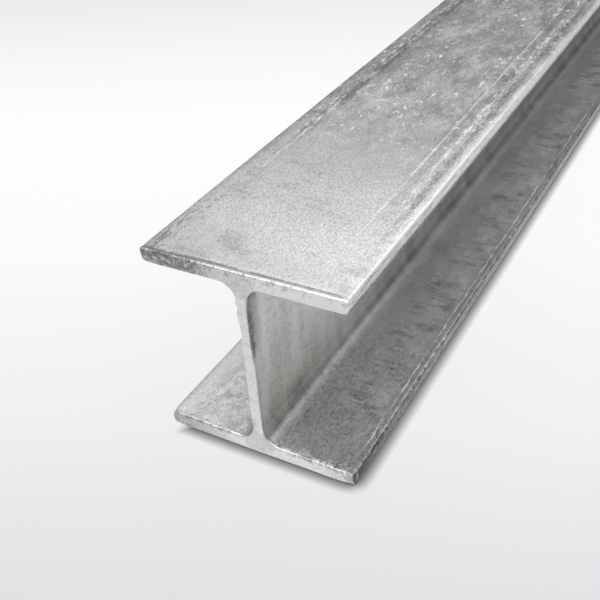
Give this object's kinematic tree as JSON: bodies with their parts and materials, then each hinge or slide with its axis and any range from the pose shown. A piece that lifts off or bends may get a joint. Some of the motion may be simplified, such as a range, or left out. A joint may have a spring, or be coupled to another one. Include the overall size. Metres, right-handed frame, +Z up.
{
  "type": "steel i-beam",
  "caption": "Hot-dip galvanised wide-flange steel I-beam with parallel flanges and square sawn ends, used as a beam, lintel or post.",
  "frame": {"origin": "on the underside of the lower flange, below the middle of the length and the middle of the web", "axes": "+X along the length, +Y across the flanges, +Z up along the web"},
  "size_m": [1, 0.1, 0.102],
  "materials": {
    "galvanised_steel": "hot-dip galvanised, dull and mottled, with zinc beads and runs along the edges"
  },
  "bodies": {
    "root": {"i_beam": "galvanised_steel"}
  },
  "joints": []
}
